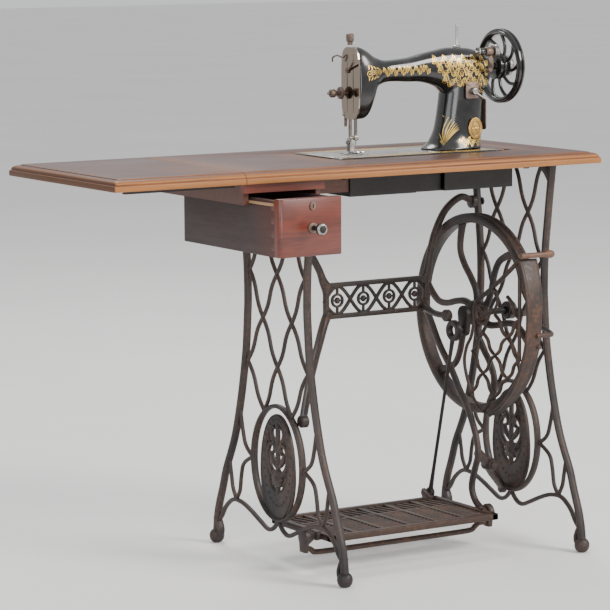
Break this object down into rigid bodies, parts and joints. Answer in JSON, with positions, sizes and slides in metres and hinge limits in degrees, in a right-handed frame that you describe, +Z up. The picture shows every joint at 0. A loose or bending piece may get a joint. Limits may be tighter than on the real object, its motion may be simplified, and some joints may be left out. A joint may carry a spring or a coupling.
{
  "type": "treadle sewing machine",
  "caption": "Antique treadle sewing machine: cast iron stand, drop-leaf wooden table with a side drawer, treadle drive and black head.",
  "frame": {"origin": "on the floor, at the centre of the whole object's plan", "axes": "+X to the user's right along the table, +Y away from the user, +Z up"},
  "size_m": [1.066, 0.56, 1.018],
  "materials": {
    "cast_iron": "old black-brown paint with rust bloom",
    "rusty_iron": "brown rust, rubbed",
    "dark_iron": "dark, oiled and worn",
    "mahogany_top": "satin varnish, worn",
    "mahogany_red": "satin varnish",
    "drawer_wood": "matt, stained",
    "dark_wood": "satin varnish",
    "black_paint": "satin black",
    "black_japan": "gloss japan with gold scrolls",
    "nickel": "nickel plate",
    "worn_nickel": "tarnished nickel plate",
    "steel": "bare steel",
    "brass": "dull brass"
  },
  "bodies": {
    "stand": {"left_side_frame": "cast_iron", "right_side_frame": "cast_iron", "cross_brace": "cast_iron", "brace_bolt_left": "dark_iron", "brace_bolt_right": "dark_iron", "treadle_cross_rod": "cast_iron", "wheel_guard": "cast_iron", "guard_stud": "rusty_iron", "table_top": "mahogany_top", "leaf_hinge_front_fixed": "dark_iron", "leaf_hinge_back_fixed": "dark_iron", "drip_pan": "black_paint", "front_rail": "dark_wood", "case_front_rail": "dark_wood", "case_back_rail": "dark_wood", "case_left_rail": "dark_wood", "case_right_rail": "dark_wood"},
    "leaf": {"drop_leaf": "mahogany_top", "leaf_batten": "dark_iron", "leaf_hinge_front_moving": "dark_iron", "leaf_hinge_back_moving": "dark_iron"},
    "flap": {"belt_flap": "mahogany_top"},
    "drawer": {"drawer_front": "mahogany_red", "drawer_left_side": "drawer_wood", "drawer_right_side": "drawer_wood", "drawer_back": "drawer_wood", "drawer_bottom": "drawer_wood", "drawer_knob": "dark_iron", "drawer_escutcheon": "worn_nickel"},
    "treadle": {"treadle_plate": "cast_iron"},
    "pitman": {"pitman_rod": "dark_iron"},
    "drive_wheel": {"flywheel": "cast_iron", "crank_shaft": "steel"},
    "head": {"bed_casting": "black_japan", "needle_plate": "nickel", "feed_dog": "steel", "shuttle_hook": "steel", "arm_casting": "black_japan", "face_plate": "worn_nickel", "presser_screw": "worn_nickel", "tension_discs": "worn_nickel", "thread_guide": "worn_nickel", "stitch_plate": "nickel", "oval_badge": "brass", "pillar_cover": "worn_nickel", "spool_pin": "steel"},
    "bed_slide": {"slide_plate": "nickel"},
    "needle_unit": {"needle_bar": "steel", "needle": "steel"},
    "presser_unit": {"presser_bar": "steel", "presser_foot": "nickel"},
    "lifter": {"presser_lifter": "worn_nickel"},
    "take_up": {"take_up_lever": "worn_nickel"},
    "tension_knob": {"tension_nut": "worn_nickel"},
    "stitch_control": {"stitch_lever": "nickel"},
    "balance_wheel": {"hand_wheel": "black_japan", "main_shaft": "steel"},
    "clutch": {"clutch_nut": "nickel"},
    "winder": {"winder_arm": "worn_nickel"},
    "winder_wheel": {"winder_spindle": "steel"}
  },
  "joints": [
    {"name": "leaf_drop", "type": "hinge", "parent": "stand", "child": "leaf", "pos_m": [-0.266, 0.031, 0.7486], "axis": [0, -1, 0], "range_deg": [0, 90]},
    {"name": "flap_lift", "type": "hinge", "parent": "stand", "child": "flap", "pos_m": [0.4355, 0.031, 0.775], "axis": [0, 1, 0], "range_deg": [0, 90]},
    {"name": "drawer_pull", "type": "slide", "parent": "stand", "child": "drawer", "axis": [0, -1, 0], "range_m": [-0.075, 0.2]},
    {"name": "treadle_rock", "type": "hinge", "parent": "stand", "child": "treadle", "pos_m": [0.197, -0.057, 0.067], "axis": [1, 0, 0], "range_deg": [0, 20]},
    {"name": "pitman_swing", "type": "hinge", "parent": "treadle", "child": "pitman", "pos_m": [0.337, 0.123, 0.078], "axis": [1, 0, 0], "range_deg": [-20, 0]},
    {"name": "drive_wheel_spin", "type": "hinge", "parent": "stand", "child": "drive_wheel", "pos_m": [0.393, 0.041, 0.447], "axis": [1, 0, 0], "continuous": true},
    {"name": "head_tilt", "type": "hinge", "parent": "stand", "child": "head", "pos_m": [0.197, 0.1295, 0.778], "axis": [-1, 0, 0], "range_deg": [0, 75]},
    {"name": "bed_slide_pull", "type": "slide", "parent": "head", "child": "bed_slide", "axis": [-1, 0, 0], "range_m": [0, 0.045]},
    {"name": "needle_stroke", "type": "slide", "parent": "head", "child": "needle_unit", "axis": [0, 0, 1], "range_m": [-0.014, 0.014]},
    {"name": "take_up_swing", "type": "hinge", "parent": "head", "child": "take_up", "pos_m": [0.087, 0.039, 0.936], "axis": [1, 0, 0], "range_deg": [-25, 25]},
    {"name": "presser_lift", "type": "slide", "parent": "head", "child": "presser_unit", "axis": [0, 0, 1], "range_m": [0, 0.006]},
    {"name": "lifter_turn", "type": "hinge", "parent": "head", "child": "lifter", "pos_m": [0.103, 0.068, 0.862], "axis": [0, 1, 0], "range_deg": [0, 80]},
    {"name": "tension_turn", "type": "hinge", "parent": "head", "child": "tension_knob", "pos_m": [0.062, 0.051, 0.893], "axis": [-1, 0, 0], "range_deg": [-170, 170]},
    {"name": "stitch_lever_swing", "type": "hinge", "parent": "head", "child": "stitch_control", "pos_m": [0.347, -0.011, 0.89], "axis": [0, -1, 0], "range_deg": [-30, 30]},
    {"name": "hand_wheel_spin", "type": "hinge", "parent": "head", "child": "balance_wheel", "pos_m": [0.443, 0.034, 0.934], "axis": [1, 0, 0], "continuous": true},
    {"name": "clutch_turn", "type": "hinge", "parent": "balance_wheel", "child": "clutch", "pos_m": [0.459, 0.034, 0.934], "axis": [1, 0, 0], "range_deg": [0, 60]},
    {"name": "winder_tilt", "type": "hinge", "parent": "head", "child": "winder", "pos_m": [0.383, -0.005, 0.925], "axis": [1, 0, 0], "range_deg": [0, 12]},
    {"name": "winder_spin", "type": "hinge", "parent": "winder", "child": "winder_wheel", "pos_m": [0.373, -0.017, 0.966], "axis": [1, 0, 0], "continuous": true}
  ],
  "couplings": [
    {"joint": "pitman_swing", "follows": "treadle_rock", "ratio": -1},
    {"joint": "take_up_swing", "follows": "needle_stroke", "rad_per_m": -30},
    {"joint": "lifter_turn", "follows": "presser_lift", "rad_per_m": 230}
  ]
}
